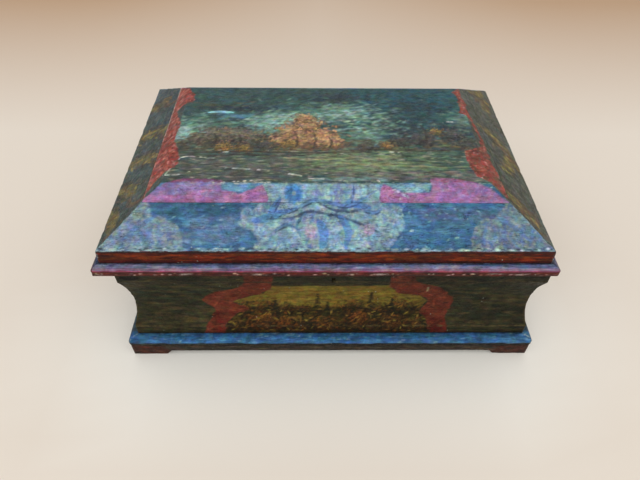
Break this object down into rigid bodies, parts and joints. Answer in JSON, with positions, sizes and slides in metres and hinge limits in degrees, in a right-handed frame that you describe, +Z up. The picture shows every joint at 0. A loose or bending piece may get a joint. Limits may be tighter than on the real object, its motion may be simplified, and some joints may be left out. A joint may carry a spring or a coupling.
{
  "type": "wooden casket",
  "caption": "Rectangular painted wooden casket with coved walls, moulded base, bracket feet and a hinged bevelled lid that locks with a small box lock.",
  "frame": {"origin": "on the ground under the middle of the whole casket, lid and base", "axes": "+Z up, +X along the front to the right, the front faces -Y"},
  "size_m": [0.3206, 0.2168, 0.139],
  "materials": {
    "lid_panel_paint": "painted and varnished, crazed",
    "lid_rail_paint": "painted and varnished, crazed",
    "lid_moulding_paint": "painted, worn",
    "wall_paint": "painted and varnished, crazed",
    "base_board_paint": "painted, worn",
    "foot_rail_paint": "painted, worn",
    "brass": "old brass, dulled",
    "iron": "dark iron"
  },
  "bodies": {
    "casket": {"foot_rail_front": "foot_rail_paint", "foot_rail_right": "foot_rail_paint", "foot_rail_back": "foot_rail_paint", "foot_rail_left": "foot_rail_paint", "wall_front": "wall_paint", "wall_right": "wall_paint", "wall_back": "wall_paint", "wall_left": "wall_paint", "base_board": "base_board_paint", "hinge_left_body_leaf": "brass", "hinge_left_pin": "iron", "hinge_right_body_leaf": "brass", "hinge_right_pin": "iron", "lock_plate": "brass", "lock_cap": "brass", "lock_bolt_guides": "brass", "lock_rivets": "brass", "lock_spring": "iron", "lock_drill_pin": "iron", "lock_screws": "iron", "hinge_screws_body": "iron", "base_nails": "iron", "foot_rail_nails": "iron", "corner_nails": "iron"},
    "lid": {"lid_moulding_front": "lid_moulding_paint", "lid_moulding_right": "lid_moulding_paint", "lid_moulding_back": "lid_moulding_paint", "lid_moulding_left": "lid_moulding_paint", "lid_rail_front": "lid_rail_paint", "lid_rail_right": "lid_rail_paint", "lid_rail_back": "lid_rail_paint", "lid_rail_left": "lid_rail_paint", "lid_panel": "lid_panel_paint", "hinge_left_lid_leaf": "brass", "hinge_right_lid_leaf": "brass", "hinge_screws_lid": "iron", "strike_plate": "brass", "strike_screws": "iron", "moulding_nails": "iron"},
    "bolt": {"lock_bolt": "iron"}
  },
  "joints": [
    {"name": "lid_hinge", "type": "hinge", "parent": "casket", "child": "lid", "pos_m": [0, 0.103, 0.0952], "axis": [-1, 0, 0], "range_deg": [0, 105]},
    {"name": "bolt_slide", "type": "slide", "parent": "casket", "child": "bolt", "axis": [-1, 0, 0], "range_m": [0, 0.005]}
  ]
}
